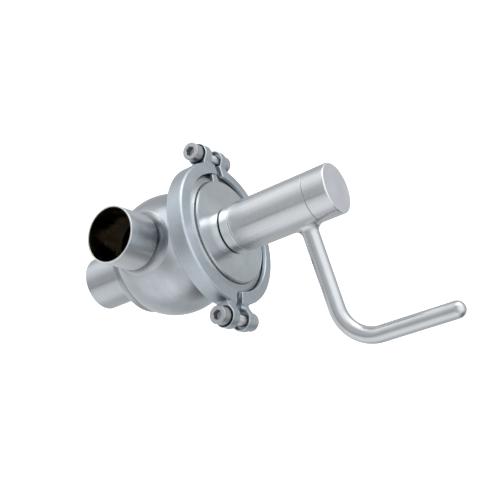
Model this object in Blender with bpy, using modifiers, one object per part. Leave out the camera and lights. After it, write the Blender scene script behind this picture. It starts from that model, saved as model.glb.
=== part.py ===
"""Three-way sanitary plug valve, stainless steel, for 50.8 mm (2 in) tube.

Frame: metres, +Z up the stem, origin at the centre of the bottom port's end face, so the valve
stands on that tube end. +X runs out of the side port that the clamp screw heads face. All heights
below are given from the body centre, where the port axes cross, and LIFT puts them in the frame.
The plug, stem and handle turn together about the Z axis.
"""
import math

import bpy
from mathutils import Matrix, Vector

MM = 0.001
GAP = 0.3                      # working clearance kept between touching pieces

# Ports and body
TUBE_R = 25.4                  # 50.8 mm tube, outside radius
BORE_R = 23.9                  # 1.5 mm wall
PORT_REACH = 90.0              # port end face to body centre, all three ports
LIFT = PORT_REACH              # body centre above the frame origin
SPHERE_R = 56.5
SOCKET_AT = 47.2               # depth of the tube socket in each side port, from the centre
BOSS_R, BOSS_FACE = 43.9, -40.8
NECK_R = 45.5
CHAMBER_R = 43.2               # room above the plug that the bonnet spigot fills
FLOOR = -35.3                  # bottom of the tapered seat

# Clamped joint
FLANGE_R, RIM_HALF, ROOT_HALF, ROOT_R = 60.0, 3.8, 7.3, 50.5
CLAMP_MID = 53.3               # plane where body flange and bonnet flange meet
CLAMP_R, CLAMP_HALF, LIP_R = 67.5, 7.0, 56.0
SPLIT_HALF = 3.7
SCREW_Y, SCREW_R, SCREW_TIP = 77.5, 5.0, -25.0
HEAD_R, HEAD_X = 8.3, (15.5, 27.3)     # socket head, along X
HEX_AF, HEX_DEPTH = 8.0, 5.5
EAR_R = 10.2
EAR_NEAR = (7.0, 17.0)         # clearance ear, along X
SINK_R, SINK_AT = 9.1, 13.6    # counterbore of the clearance ear
EAR_FAR = (-15.0, -7.0)        # collar of the tapped ear, along X
RECESS_R, RECESS_AT = 8.7, -10.6
TAP_R, TAP_END = 8.5, -27.1    # tapped boss behind the collar
WEB_HALF = 6.0

# Bonnet, gland and plug
DISC_R, DISC_TOP = 48.0, 64.3
CROWN_R, CROWN_TOP = 21.5, 65.5
GLAND_R, GLAND_Z = 21.2, (66.3, 75.3)
GLAND_BORE_R = 15.0
SPIGOT_BOTTOM = 45.0
PLUG_TOP, PLUG_BOTTOM = 40.0, -35.0
SEAT_R0, SEAT_TAPER = 40.9, 0.0353   # seat radius at the port axis, and its growth with height
PASSAGE_R = 22.5

# Stem, hub and handle
STEM_R, THREAD_R = 10.0, 8.0
TANG_HALF, TANG_BOTTOM = 9.0, 26.7
HUB_R, HUB_Z = 22.8, (75.6, 153.2)
SPIGOT_R, SPIGOT_TOP = 18.3, 158.2
CAP_R, CAP_Z, CAP_ROOF = 22.95, (153.6, 175.1), 170.5
ROD_R, ROD_Z, ROD_REACH, ROD_END, ROD_BEND = 7.5, 138.4, 126.8, 245.2, 31.0
HANDLE_AZIMUTH = 107.1         # degrees from +X, seen from above
KEY_W, KEY_R, KEY_Z = 6.0, (7.3, 12.7), (112.0, 150.0)

ROUND = 56                     # facets round a full turn of the larger pieces


def seat_radius(z):
    return SEAT_R0 + SEAT_TAPER * z


# Scene set-up -----------------------------------------------------------------------------------
for old in list(bpy.data.objects):
    bpy.data.objects.remove(old, do_unlink=True)

PARTS = bpy.data.collections.new("plug_valve")
TOOLS = bpy.data.collections.new("plug_valve_cutters")
bpy.context.scene.collection.children.link(PARTS)
bpy.context.scene.collection.children.link(TOOLS)

STEEL = dict(color=(0.60, 0.62, 0.64), metallic=1.0, roughness=0.34)
CAST = dict(color=(0.52, 0.55, 0.58), metallic=1.0, roughness=0.48)
BRIGHT = dict(color=(0.72, 0.73, 0.75), metallic=1.0, roughness=0.18)
FASTENER = dict(color=(0.56, 0.56, 0.56), metallic=1.0, roughness=0.38)
ELASTOMER = dict(color=(0.03, 0.03, 0.03), metallic=0.0, roughness=0.60)
FLUOROPOLYMER = dict(color=(0.86, 0.86, 0.83), metallic=0.0, roughness=0.45)


def finish_part(obj, look):
    """Give a part its own material and file it with the valve."""
    mat = bpy.data.materials.new(obj.name + "_mat")
    mat.use_nodes = True
    shader = mat.node_tree.nodes["Principled BSDF"]
    shader.inputs["Base Color"].default_value = (*look["color"], 1.0)
    shader.inputs["Metallic"].default_value = look["metallic"]
    shader.inputs["Roughness"].default_value = look["roughness"]
    obj.data.materials.append(mat)
    PARTS.objects.link(obj)
    return obj


def finish_tool(obj):
    """File a cutter or a lug that a Boolean uses, hidden from renders."""
    TOOLS.objects.link(obj)
    obj.hide_render = True
    obj.display_type = "WIRE"
    return obj


def turned(name, profile, look=None, ring=False, axis="Z", angle=0.0, offset=(0, 0, 0), steps=ROUND):
    """A solid turned about an axis from (radius, height) pairs, outer side top to bottom.

    A ring's profile closes on itself; any other starts and ends on the axis.
    """
    mesh = bpy.data.meshes.new(name)
    verts = [(r * MM, 0.0, z * MM) for r, z in profile]
    edges = [(i, i + 1) for i in range(len(verts) - 1)]
    if ring:
        edges.append((len(verts) - 1, 0))
    mesh.from_pydata(verts, edges, [])
    obj = bpy.data.objects.new(name, mesh)
    mod = obj.modifiers.new("turn", "SCREW")
    mod.axis = "Z"
    mod.angle = 2 * math.pi
    mod.steps = steps
    mod.render_steps = steps
    mod.use_merge_vertices = True
    mod.merge_threshold = 0.00001
    mod.use_smooth_shade = True
    mod.use_normal_calculate = False
    turn = Matrix.Identity(4)
    if axis == "X":
        turn = Matrix.Rotation(math.pi / 2, 4, "Y")
    place = Matrix.Translation(Vector(offset) * MM)
    obj.matrix_world = place @ Matrix.Rotation(math.radians(angle), 4, "Z") @ turn
    return finish_part(obj, look) if look else finish_tool(obj)


def cylinder_tool(name, radius, low, high, **where):
    return turned(name, [(0, high), (radius, high), (radius, low), (0, low)], **where)


def box_tool(name, low, high, angle=0.0):
    """A box between two corners, turned about Z."""
    mesh = bpy.data.meshes.new(name)
    corners = [
        (x * MM, y * MM, z * MM) for x in (low[0], high[0]) for y in (low[1], high[1]) for z in (low[2], high[2])
    ]
    faces = [(0, 1, 3, 2), (4, 6, 7, 5), (0, 4, 5, 1), (2, 3, 7, 6), (0, 2, 6, 4), (1, 5, 7, 3)]
    mesh.from_pydata(corners, [], faces)
    obj = bpy.data.objects.new(name, mesh)
    obj.matrix_world = Matrix.Rotation(math.radians(angle), 4, "Z")
    return finish_tool(obj)


def combine(obj, tool, operation="DIFFERENCE"):
    mod = obj.modifiers.new(operation.lower(), "BOOLEAN")
    mod.object = tool
    mod.operation = operation
    mod.solver = "EXACT"


def up(profile):
    """Lift a profile given from the body centre into the frame."""
    return [(r, z + LIFT) for r, z in profile]


def arc(cx, cz, radius, start, end, count):
    """Points of an arc in the (radius, height) plane, angles in degrees from +radius."""
    span = [math.radians(start + (end - start) * i / count) for i in range(count + 1)]
    return [(cx + radius * math.cos(t), cz + radius * math.sin(t)) for t in span]


# Body --------------------------------------------------------------------------------------------
neck_meets = math.degrees(math.acos(NECK_R / SPHERE_R))
boss_meets = -math.degrees(math.acos(BOSS_R / SPHERE_R))
sphere_side = arc(0, 0, SPHERE_R, neck_meets, boss_meets, 16)
SEAL_R = (50.0, 55.0)
body_profile = [
    (CHAMBER_R, CLAMP_MID - GAP),
    (SEAL_R[0], CLAMP_MID - GAP),
    (SEAL_R[0], CLAMP_MID - GAP - 2.0),
    (SEAL_R[1], CLAMP_MID - GAP - 2.0),
    (SEAL_R[1], CLAMP_MID - GAP),
    (FLANGE_R, CLAMP_MID - GAP),
    (FLANGE_R, CLAMP_MID - RIM_HALF),
    (ROOT_R + 1.0, CLAMP_MID - ROOT_HALF + 0.3),
    (NECK_R + 1.2, CLAMP_MID - ROOT_HALF - 0.1),
    (NECK_R, CLAMP_MID - ROOT_HALF - 1.4),
    *sphere_side,
    (BOSS_R, BOSS_FACE + 0.8),
    (BOSS_R - 0.8, BOSS_FACE),
    (TUBE_R + GAP, BOSS_FACE),
    (TUBE_R + GAP, BOSS_FACE + 3.3),
    (BORE_R, BOSS_FACE + 3.3),
    (BORE_R, FLOOR),
    (seat_radius(FLOOR), FLOOR),
    (seat_radius(-12.0), -12.0),
    (seat_radius(12.0), 12.0),
    (seat_radius(37.5), 37.5),
    (CHAMBER_R, 38.6),
]
body = turned("valve_body", up(body_profile), CAST, ring=True)
socket_r = TUBE_R + GAP
side_bore = [
    (0, 62),
    (socket_r, 62),
    (socket_r, SOCKET_AT),
    (BORE_R, SOCKET_AT),
    (BORE_R, -SOCKET_AT),
    (socket_r, -SOCKET_AT),
    (socket_r, -62),
    (0, -62),
]
combine(body, turned("side_port_bore", side_bore, axis="X", offset=(0, 0, LIFT), steps=46))


# Port tubes and their welds ----------------------------------------------------------------------
def tube_profile(start, end):
    return [(BORE_R, end), (TUBE_R - 0.25, end), (TUBE_R, end - 0.25), (TUBE_R, start), (BORE_R, start)]


def side_weld_profile():
    """A fillet lying on the sphere round a side tube, heights measured along the port axis."""
    on_sphere = [(r, math.sqrt(SPHERE_R ** 2 - r ** 2) + GAP) for r in (32.6, 29.0, TUBE_R + GAP)]
    return [(TUBE_R + GAP, 58.2), (26.1, 56.2), (26.9, 53.9), (28.2, 51.7), (30.2, 49.4), (32.2, 47.6), *on_sphere]


for label, turn in (("front", 0.0), ("rear", 180.0)):
    where = dict(axis="X", angle=turn, offset=(0, 0, LIFT), steps=48)
    turned("side_tube_" + label, tube_profile(SOCKET_AT + GAP, PORT_REACH), STEEL, ring=True, **where)
    turned("side_weld_" + label, side_weld_profile(), CAST, ring=True, **where)

bottom_top = BOSS_FACE + 3.3 - GAP
bottom_profile = [
    (BORE_R, bottom_top),
    (TUBE_R, bottom_top),
    (TUBE_R, -PORT_REACH + 0.25),
    (TUBE_R - 0.25, -PORT_REACH),
    (BORE_R, -PORT_REACH),
]
turned("bottom_tube", up(bottom_profile), STEEL, ring=True, steps=48)
weld_top = BOSS_FACE - GAP
bottom_weld = [
    (TUBE_R + GAP, weld_top),
    (30.6, weld_top),
    (30.2, weld_top - 0.6),
    (28.4, weld_top - 1.6),
    (27.0, weld_top - 3.2),
    (26.1, weld_top - 5.0),
    (TUBE_R + GAP, weld_top - 6.0),
]
turned("bottom_weld", up(bottom_weld), CAST, ring=True, steps=48)

# Plug --------------------------------------------------------------------------------------------
plug_profile = [
    (0, PLUG_TOP),
    (seat_radius(PLUG_TOP) - GAP - 2.0, PLUG_TOP),
    (seat_radius(38.0) - GAP - 0.4, 38.0),
    (seat_radius(12.0) - GAP, 12.0),
    (seat_radius(-12.0) - GAP, -12.0),
    (seat_radius(PLUG_BOTTOM + 1.0) - GAP, PLUG_BOTTOM + 1.0),
    (seat_radius(PLUG_BOTTOM) - GAP - 1.0, PLUG_BOTTOM),
    (0, PLUG_BOTTOM),
]
plug = turned("plug", up(plug_profile), BRIGHT)
combine(plug, cylinder_tool("passage_down", PASSAGE_R, LIFT - 45.0, LIFT + 15.0, steps=48))
passage_out = cylinder_tool(
    "passage_out", PASSAGE_R, -12.0, 48.0, axis="X", angle=HANDLE_AZIMUTH, offset=(0, 0, LIFT), steps=48
)
combine(plug, passage_out)
tang_room = TANG_HALF + GAP
tang_socket = box_tool(
    "tang_socket",
    (-tang_room, -tang_room, LIFT + TANG_BOTTOM - GAP),
    (tang_room, tang_room, LIFT + PLUG_TOP + 5.0),
    HANDLE_AZIMUTH,
)
combine(plug, tang_socket)
washer_z = (PLUG_TOP + GAP, SPIGOT_BOTTOM - GAP)
thrust_profile = [(19.0, washer_z[1]), (38.0, washer_z[1]), (38.0, washer_z[0]), (19.0, washer_z[0])]
turned("thrust_washer", up(thrust_profile), FLUOROPOLYMER, ring=True)

# Bonnet, seal and gland --------------------------------------------------------------------------
bonnet_profile = [
    (GLAND_BORE_R, CROWN_TOP),
    (CROWN_R, CROWN_TOP),
    (DISC_R - 0.5, DISC_TOP),
    (DISC_R, DISC_TOP - 0.5),
    (DISC_R, CLAMP_MID + ROOT_HALF + 0.6),
    (ROOT_R + 0.5, CLAMP_MID + ROOT_HALF - 0.2),
    (FLANGE_R, CLAMP_MID + RIM_HALF),
    (FLANGE_R, CLAMP_MID + GAP),
    (CHAMBER_R - GAP, CLAMP_MID + GAP),
    (CHAMBER_R - GAP, SPIGOT_BOTTOM + 0.8),
    (CHAMBER_R - GAP - 0.8, SPIGOT_BOTTOM),
    (GLAND_BORE_R, SPIGOT_BOTTOM),
]
bonnet = turned("bonnet", up(bonnet_profile), BRIGHT, ring=True)
LUG_X, LUG_Y, LUG_TOP = (1.2, 8.6), (-54.8, -46.8), 63.4
lug = box_tool("locating_lug", (LUG_X[0], LUG_Y[0], LIFT + 57.0), (LUG_X[1], LUG_Y[1], LIFT + LUG_TOP))
combine(bonnet, lug, "UNION")

seal_z = (CLAMP_MID - 2.0, CLAMP_MID)
seal_profile = [
    (SEAL_R[0] + GAP, seal_z[1]),
    (SEAL_R[1] - GAP, seal_z[1]),
    (SEAL_R[1] - GAP, seal_z[0]),
    (SEAL_R[0] + GAP, seal_z[0]),
]
turned("bonnet_seal", up(seal_profile), ELASTOMER, ring=True)

stem_bore = STEM_R + GAP
ORING_Z, ORING_R, ORING_SECTION = (56.5, 64.5), 11.6, 1.2
groove_r, groove_half = ORING_R + ORING_SECTION + GAP, ORING_SECTION + GAP
gland_profile = [
    (stem_bore, GLAND_Z[1]),
    (GLAND_R - 1.0, GLAND_Z[1]),
    (GLAND_R, GLAND_Z[1] - 1.0),
    (GLAND_R, GLAND_Z[0] + 0.8),
    (GLAND_R - 0.8, GLAND_Z[0]),
    (GLAND_BORE_R - GAP, GLAND_Z[0]),
    (GLAND_BORE_R - GAP, 50.0),
    (stem_bore, 50.0),
]
for z in ORING_Z:
    gland_profile += [
        (stem_bore, z - groove_half),
        (groove_r, z - groove_half),
        (groove_r, z + groove_half),
        (stem_bore, z + groove_half),
    ]
turned("gland_ring", up(gland_profile), BRIGHT, ring=True, steps=48)
for label, z in zip(("lower", "upper"), ORING_Z):
    section = arc(ORING_R, z, ORING_SECTION, 90, -270, 8)[:-1]
    turned("stem_oring_" + label, up(section), ELASTOMER, ring=True, steps=36)


# Clamp -------------------------------------------------------------------------------------------
def groove_height(r):
    """Half height of the clamp's tapered groove at a radius."""
    return RIM_HALF + (FLANGE_R - r) * (ROOT_HALF - RIM_HALF) / (FLANGE_R - ROOT_R) + 0.33


LIP_HALF, GROOVE_R = 9.7, FLANGE_R + 0.6
half_section = [
    (LIP_R, groove_height(LIP_R)),
    (LIP_R, LIP_HALF - 0.9),
    (LIP_R + 1.0, LIP_HALF),
    (62.0, LIP_HALF - 0.3),
    (65.6, LIP_HALF - 1.3),
    (CLAMP_R - 0.5, CLAMP_HALF + 0.5),
    (CLAMP_R, CLAMP_HALF),
]
clamp_section = [(r, CLAMP_MID + h) for r, h in half_section]
clamp_section += [(r, CLAMP_MID - h) for r, h in reversed(half_section)]
clamp_section += [(GROOVE_R, CLAMP_MID - groove_height(GROOVE_R)), (GROOVE_R, CLAMP_MID + groove_height(GROOVE_R))]

screw_height = LIFT + CLAMP_MID


def clamp_half(label, side, web, eye, hole_r, sink):
    """One half of the split ring, with an ear at each end turned and bored along X."""
    half = turned("clamp_half_" + label, up(clamp_section), CAST, ring=True, steps=64)
    away = (-80, SPLIT_HALF) if side > 0 else (-SPLIT_HALF, 80)
    combine(half, box_tool("split_" + label, (away[0], -90, LIFT + 30), (away[1], 90, LIFT + 80)))
    for end, y in (("left", -SCREW_Y), ("right", SCREW_Y)):
        inner, outer = sorted((math.copysign(62.2, y), y))
        low = (web[0], inner, screw_height - WEB_HALF)
        high = (web[1], outer, screw_height + WEB_HALF)
        combine(half, box_tool(f"ear_web_{label}_{end}", low, high), "UNION")
        at = (0, y, screw_height)
        combine(half, turned(f"ear_eye_{label}_{end}", eye, axis="X", offset=at, steps=32), "UNION")
        combine(half, cylinder_tool(f"ear_hole_{label}_{end}", hole_r, -30, 20, axis="X", offset=at, steps=22))
        combine(
            half,
            cylinder_tool(f"ear_sink_{label}_{end}", sink[0], sink[1], sink[2], axis="X", offset=at, steps=32),
        )
    return half


near_eye = [
    (0, EAR_NEAR[1]),
    (EAR_R - 0.6, EAR_NEAR[1]),
    (EAR_R, EAR_NEAR[1] - 0.6),
    (EAR_R, EAR_NEAR[0] + 0.8),
    (EAR_R - 0.8, EAR_NEAR[0]),
    (0, EAR_NEAR[0]),
]
far_eye = [
    (0, EAR_FAR[1]),
    (EAR_R - 0.6, EAR_FAR[1]),
    (EAR_R, EAR_FAR[1] - 0.6),
    (EAR_R, EAR_FAR[0] + 0.8),
    (EAR_R - 0.8, EAR_FAR[0]),
    (TAP_R, EAR_FAR[0]),
    (TAP_R, TAP_END + 2.2),
    (TAP_R - 2.2, TAP_END),
    (0, TAP_END),
]
clamp_half("front", 1, (5.0, SINK_AT - 0.6), near_eye, SCREW_R + 0.5, (SINK_R, SINK_AT, 22.0))
clamp_half("rear", -1, (EAR_FAR[0] + 0.5, EAR_FAR[1] - 0.5), far_eye, SCREW_R + GAP, (RECESS_R, RECESS_AT, -2.0))

for label, y in (("left", -SCREW_Y), ("right", SCREW_Y)):
    at = (0, y, screw_height)
    screw_profile = [
        (0, HEAD_X[1]),
        (HEAD_R - 0.7, HEAD_X[1]),
        (HEAD_R, HEAD_X[1] - 0.7),
        (HEAD_R, HEAD_X[0]),
        (SCREW_R, HEAD_X[0]),
        (SCREW_R, SCREW_TIP + 0.8),
        (SCREW_R - 0.8, SCREW_TIP),
        (0, SCREW_TIP),
    ]
    screw = turned("clamp_screw_" + label, screw_profile, FASTENER, axis="X", offset=at, steps=36)
    hexagon = HEX_AF / 2 / math.cos(math.pi / 6)
    key_hole = cylinder_tool(
        "hex_" + label, hexagon, HEAD_X[1] - HEX_DEPTH, HEAD_X[1] + 4, axis="X", offset=at, steps=6
    )
    combine(screw, key_hole)
    ring_x = (SINK_AT + GAP, HEAD_X[0] - GAP)
    washer = [(SCREW_R + 0.4, ring_x[1]), (HEAD_R, ring_x[1]), (HEAD_R, ring_x[0]), (SCREW_R + 0.4, ring_x[0])]
    turned("screw_washer_" + label, washer, FASTENER, ring=True, axis="X", offset=at, steps=32)

# Stem and key ------------------------------------------------------------------------------------
COLLAR_R = 16.0
stem_profile = [
    (0, 170.0),
    (THREAD_R - 1.0, 170.0),
    (THREAD_R, 169.0),
    (THREAD_R, SPIGOT_TOP - GAP),
    (STEM_R, SPIGOT_TOP - GAP),
    (STEM_R, washer_z[1]),
    (COLLAR_R, washer_z[1]),
    (COLLAR_R, PLUG_TOP + GAP),
    (0, PLUG_TOP + GAP),
]
stem = turned("stem", up(stem_profile), STEEL, steps=40)
tang = box_tool(
    "stem_tang",
    (-TANG_HALF, -TANG_HALF, LIFT + TANG_BOTTOM),
    (TANG_HALF, TANG_HALF, LIFT + PLUG_TOP + 2.0),
    HANDLE_AZIMUTH,
)
combine(stem, tang, "UNION")

key_angle = HANDLE_AZIMUTH + 180.0


def slot(name, r0, r1, clearance):
    half = KEY_W / 2 + clearance
    low = (r0, -half, LIFT + KEY_Z[0] - clearance)
    high = (r1, half, LIFT + KEY_Z[1] + clearance)
    return box_tool(name, low, high, key_angle)


combine(stem, slot("stem_slot", KEY_R[0] - GAP, 16.0, GAP))
key_mesh = bpy.data.meshes.new("drive_key")
key_low = (KEY_R[0], -KEY_W / 2, LIFT + KEY_Z[0])
key_high = (KEY_R[1], KEY_W / 2, LIFT + KEY_Z[1])
key_corners = [
    (x * MM, y * MM, z * MM)
    for x in (key_low[0], key_high[0])
    for y in (key_low[1], key_high[1])
    for z in (key_low[2], key_high[2])
]
key_mesh.from_pydata(
    key_corners, [], [(0, 1, 3, 2), (4, 6, 7, 5), (0, 4, 5, 1), (2, 3, 7, 6), (0, 2, 6, 4), (1, 5, 7, 3)]
)
key = bpy.data.objects.new("drive_key", key_mesh)
key.matrix_world = Matrix.Rotation(math.radians(key_angle), 4, "Z")
finish_part(key, FASTENER)

# Hub and handle rod ------------------------------------------------------------------------------
hub_profile = [
    (stem_bore, SPIGOT_TOP),
    (SPIGOT_R - 0.6, SPIGOT_TOP),
    (SPIGOT_R, SPIGOT_TOP - 0.6),
    (SPIGOT_R, HUB_Z[1]),
    (HUB_R - 0.3, HUB_Z[1]),
    (HUB_R, HUB_Z[1] - 0.3),
    (HUB_R, HUB_Z[0] + 2.4),
    (HUB_R - 0.7, HUB_Z[0] + 0.7),
    (HUB_R - 2.4, HUB_Z[0]),
    (stem_bore, HUB_Z[0]),
]
hub = turned("handle_hub", up(hub_profile), STEEL, ring=True)
combine(hub, slot("hub_slot", 5.0, KEY_R[1] + GAP, GAP))
rod_height = LIFT + ROD_Z
ROD_ROOT = 15.3
rod_hole = cylinder_tool(
    "rod_hole", ROD_R + GAP, ROD_ROOT - GAP, 40.0, axis="X", angle=HANDLE_AZIMUTH, offset=(0, 0, rod_height), steps=32
)
combine(hub, rod_hole)

weld_profile = [
    (ROD_R + GAP, 32.4),
    (8.5, 30.8),
    (9.7, 28.2),
    (11.4, 26.0),
    (13.3, 24.4),
    (14.2, 23.0),
    (14.4, 14.0),
    (ROD_R + GAP, 14.0),
]
weld = turned(
    "handle_weld", weld_profile, CAST, ring=True, axis="X", angle=HANDLE_AZIMUTH, offset=(0, 0, rod_height), steps=40
)
combine(weld, cylinder_tool("hub_clearance", HUB_R + GAP, LIFT + 110, LIFT + 170, steps=ROUND))

rod_data = bpy.data.curves.new("handle_rod", "CURVE")
rod_data.dimensions = "3D"
rod_data.bevel_depth = ROD_R * MM
rod_data.bevel_resolution = 6
rod_data.use_fill_caps = True
path = [(ROD_ROOT, ROD_Z, 1.0), (60.0, ROD_Z, 1.0)]
corner_r, corner_z = ROD_REACH - ROD_BEND, ROD_Z + ROD_BEND
path += [(r, z, 1.0) for r, z in arc(corner_r, corner_z, ROD_BEND, -90, 0, 12)]
path += [(ROD_REACH, 200.0, 1.0)]
for i in range(8):
    t = math.radians(82.0 * i / 7)
    path.append((ROD_REACH, ROD_END - ROD_R + ROD_R * math.sin(t), math.cos(t)))
spline = rod_data.splines.new("POLY")
spline.points.add(len(path) - 1)
spline.use_smooth = True
for point, (r, z, thickness) in zip(spline.points, path):
    point.co = (r * MM, 0.0, (z + LIFT) * MM, 1.0)
    point.radius = thickness
rod = bpy.data.objects.new("handle_rod", rod_data)
rod.matrix_world = Matrix.Rotation(math.radians(HANDLE_AZIMUTH), 4, "Z")
finish_part(rod, STEEL)

# Stem nut and end cap ----------------------------------------------------------------------------
flat_z = (SPIGOT_TOP + GAP, SPIGOT_TOP + GAP + 2.0)
nut_z = (flat_z[1] + GAP, flat_z[1] + GAP + 8.0)
flat = [
    (THREAD_R + GAP, flat_z[1]),
    (15.0, flat_z[1]),
    (15.0, flat_z[0]),
    (THREAD_R + GAP, flat_z[0]),
]
turned("stem_washer", up(flat), FASTENER, ring=True, steps=40)
NUT_AF = 24.0
nut = turned(
    "stem_nut",
    up([(0, nut_z[1]), (NUT_AF / 2 / math.cos(math.pi / 6), nut_z[1]),
        (NUT_AF / 2 / math.cos(math.pi / 6), nut_z[0]), (0, nut_z[0])]),
    FASTENER,
    steps=6,
)
combine(nut, cylinder_tool("nut_thread", THREAD_R + GAP, LIFT + 150, LIFT + 180, steps=32))

cap_profile = [
    (0, CAP_Z[1]),
    (CAP_R - 2.2, CAP_Z[1]),
    (CAP_R - 0.65, CAP_Z[1] - 0.65),
    (CAP_R, CAP_Z[1] - 2.2),
    (CAP_R, CAP_Z[0] + 0.3),
    (CAP_R - 0.3, CAP_Z[0]),
    (SPIGOT_R + GAP, CAP_Z[0]),
    (SPIGOT_R + GAP, CAP_ROOF),
    (0, CAP_ROOF),
]
turned("end_cap", up(cap_profile), STEEL)
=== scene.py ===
"""Looks of the three-way sanitary plug valve: fine meshes, stainless finishes, studio and camera.

The CAD frame is in metres, +Z up the stem, the bottom port's end face on z = 0. Shapes below are
written in millimetres from the body centre, where the port axes cross, and LIFT puts them in place.
"""
import math

import bpy
import numpy as np
from mathutils import Matrix, Vector


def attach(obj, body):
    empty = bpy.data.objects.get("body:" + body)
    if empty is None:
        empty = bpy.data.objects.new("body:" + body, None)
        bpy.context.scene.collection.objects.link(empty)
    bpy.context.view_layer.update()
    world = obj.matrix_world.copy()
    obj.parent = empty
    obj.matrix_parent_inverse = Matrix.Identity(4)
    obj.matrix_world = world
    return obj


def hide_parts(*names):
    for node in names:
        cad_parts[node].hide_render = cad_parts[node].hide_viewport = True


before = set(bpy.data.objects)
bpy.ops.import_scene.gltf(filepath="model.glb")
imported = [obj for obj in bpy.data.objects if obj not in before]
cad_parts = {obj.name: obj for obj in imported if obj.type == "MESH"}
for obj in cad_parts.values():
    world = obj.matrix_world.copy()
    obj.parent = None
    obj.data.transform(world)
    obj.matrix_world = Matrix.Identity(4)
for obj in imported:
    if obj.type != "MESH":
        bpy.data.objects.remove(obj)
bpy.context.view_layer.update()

MM = 0.001
FIXED, TURNING = "valve", "turning_group"
CAST, BRUSHED = "cast_stainless", "brushed_stainless"
BRIGHT, FAST = "polished_stainless", "fastener_stainless"

# Sizes in millimetres; heights are from the body centre.
LIFT = 90.0                                   # body centre above the bottom port's end face
PORT_REACH = 90.0                             # body centre to each port's end face
SPHERE_R, NECK_R, BOSS_R, BOSS_FACE = 56.5, 45.5, 43.9, -40.8
TUBE_R, BORE_R, SOCKET_AT = 25.4, 23.9, 47.2
FILLET = 11.0                                 # between a side tube and the sphere
FLANGE_R, CLAMP_MID, CLAMP_R, LIP_R = 60.0, 53.3, 67.5, 56.0
SPLIT_HALF = 3.7                              # half the gap between the clamp halves
EAR_R = 10.2
EAR_LEFT, EAR_RIGHT = (1.0, -76.2), (-1.0, 78.8)   # screw axis of each ear pair: shift along X, and Y
DISC_TOP, CROWN_TOP = 64.3, 65.5
HUB_R, CAP_R, ROD_R, ROD_Z = 22.8, 22.95, 7.5, 138.4
HANDLE_AZIMUTH = 107.1                        # degrees from +X

# ------------------------------------------------------------------------------------------------
# Mesh helpers
# ------------------------------------------------------------------------------------------------


def make_object(name, verts_mm, faces, normals=None, edge=None, materials=(), face_mats=None):
    """A mesh object from millimetre vertices; smooth, with the exact normals when they are given."""
    mesh = bpy.data.meshes.new(name)
    verts = np.asarray(verts_mm, float) * MM
    mesh.from_pydata(verts.tolist(), [], [list(f) for f in faces])
    for mat in materials:
        mesh.materials.append(mat)
    if face_mats is not None:
        mesh.polygons.foreach_set("material_index", np.asarray(face_mats, np.int32))
    mesh.polygons.foreach_set("use_smooth", np.ones(len(mesh.polygons), bool))
    if edge is not None:
        layer = mesh.attributes.new("edge_light_and_wear", "FLOAT", "POINT")
        layer.data.foreach_set("value", np.asarray(edge, np.float32))
    mesh.update()
    if normals is not None:
        normals = np.asarray(normals, float)
        agree = sum(poly.normal.dot(Vector(normals[poly.vertices[0]])) for poly in mesh.polygons)
        if agree < 0:
            mesh.flip_normals()
        mesh.normals_split_custom_set_from_vertices(normals.tolist())
    obj = bpy.data.objects.new(name, mesh)
    bpy.context.scene.collection.objects.link(obj)
    return obj


def rounded_profile(corners, closed):
    """Points, outward normals and an edge mask of a (radius, height, fillet) outline, run clockwise.

    The outline's outward side is on its left when radius is drawn to the right and height up and
    the outline runs down its outer side.
    """
    pts, nrm, edge = [], [], []
    count = len(corners)
    for i, (r, z, fillet) in enumerate(corners):
        here = np.array((r, z), float)
        if not closed and i in (0, count - 1):
            other = np.array(corners[1][:2] if i == 0 else corners[count - 2][:2], float)
            along = (other - here) if i == 0 else (here - other)
            along /= np.linalg.norm(along)
            pts.append(here)
            nrm.append((-along[1], along[0]))
            edge.append(0.0)
            continue
        before = np.array(corners[i - 1][:2], float)
        after = np.array(corners[(i + 1) % count][:2], float)
        d0, d1 = here - before, after - here
        l0, l1 = np.linalg.norm(d0), np.linalg.norm(d1)
        d0, d1 = d0 / l0, d1 / l1
        n0, n1 = np.array((-d0[1], d0[0])), np.array((-d1[1], d1[0]))
        turn = math.acos(max(-1.0, min(1.0, float(d0 @ d1))))
        if turn < 1e-3:
            pts.append(here)
            nrm.append(n0)
            edge.append(0.0)
            continue
        reach = min(fillet * math.tan(turn / 2), 0.48 * l0, 0.48 * l1)
        radius = reach / math.tan(turn / 2)
        start = here - d0 * reach
        convex = (d0[0] * d1[1] - d0[1] * d1[0]) < 0
        centre = start - n0 * radius if convex else start + n0 * radius
        steps = max(2, int(math.degrees(turn) / 15))
        for k in range(steps + 1):
            t = k / steps
            mix = n0 * math.sin((1 - t) * turn) + n1 * math.sin(t * turn)
            mix /= np.linalg.norm(mix)
            pts.append(centre + mix * radius if convex else centre - mix * radius)
            nrm.append(mix)
            edge.append((1.0 if convex else -0.6) * math.sin(math.pi * (k + 0.5) / (steps + 1)))
    return np.array(pts), np.array(nrm), np.array(edge)


def loft_faces(rows, cols, closed_rows):
    """Quads between rows of points that each close on themselves; wound for outward normals."""
    faces = []
    last = rows if closed_rows else rows - 1
    for i in range(last):
        a, b = i * cols, ((i + 1) % rows) * cols
        for j in range(cols):
            k = (j + 1) % cols
            faces.append((a + j, b + j, b + k, a + k))
    return faces


def place(points, normals, axis="Z", angle=0.0, offset=(0, 0, 0)):
    """Turn a solid of revolution onto its axis, then by angle degrees about +Z, and move it."""
    turn = Matrix.Identity(3)
    if axis == "X":
        turn = Matrix.Rotation(math.pi / 2, 3, "Y")
    turn = np.array(Matrix.Rotation(math.radians(angle), 3, "Z") @ turn)
    return points @ turn.T + np.array(offset, float), normals @ turn.T


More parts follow.
